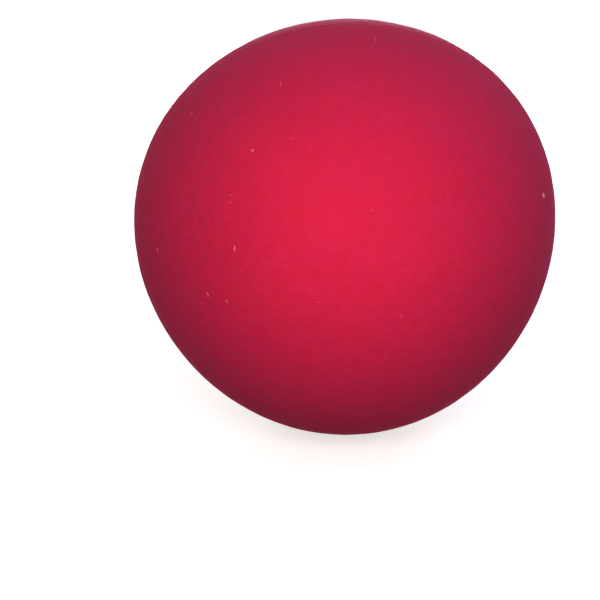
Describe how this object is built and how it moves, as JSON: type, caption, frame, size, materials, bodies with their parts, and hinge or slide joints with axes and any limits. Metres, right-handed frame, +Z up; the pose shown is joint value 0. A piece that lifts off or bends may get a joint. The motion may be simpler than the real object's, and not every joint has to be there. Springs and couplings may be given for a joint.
{
  "type": "foam dodgeball",
  "caption": "Small soft throwing ball: solid moulded foam core under a seal coat and a seamless matte red skin, sized to sit in one palm.",
  "frame": {"origin": "centre of the ball", "axes": "+Z up, -Y towards the viewer of the picture; the ball is the same about every axis"},
  "size_m": [0.1, 0.1, 0.1],
  "materials": {
    "skin": "matte red elastomer coat with a fine orange-peel grain",
    "seal_coat": "thin dull red elastomer coat",
    "foam": "cream open-cell moulded foam"
  },
  "bodies": {
    "root": {"foam_core": "foam", "seal_coat": "seal_coat", "skin": "skin"}
  },
  "joints": []
}
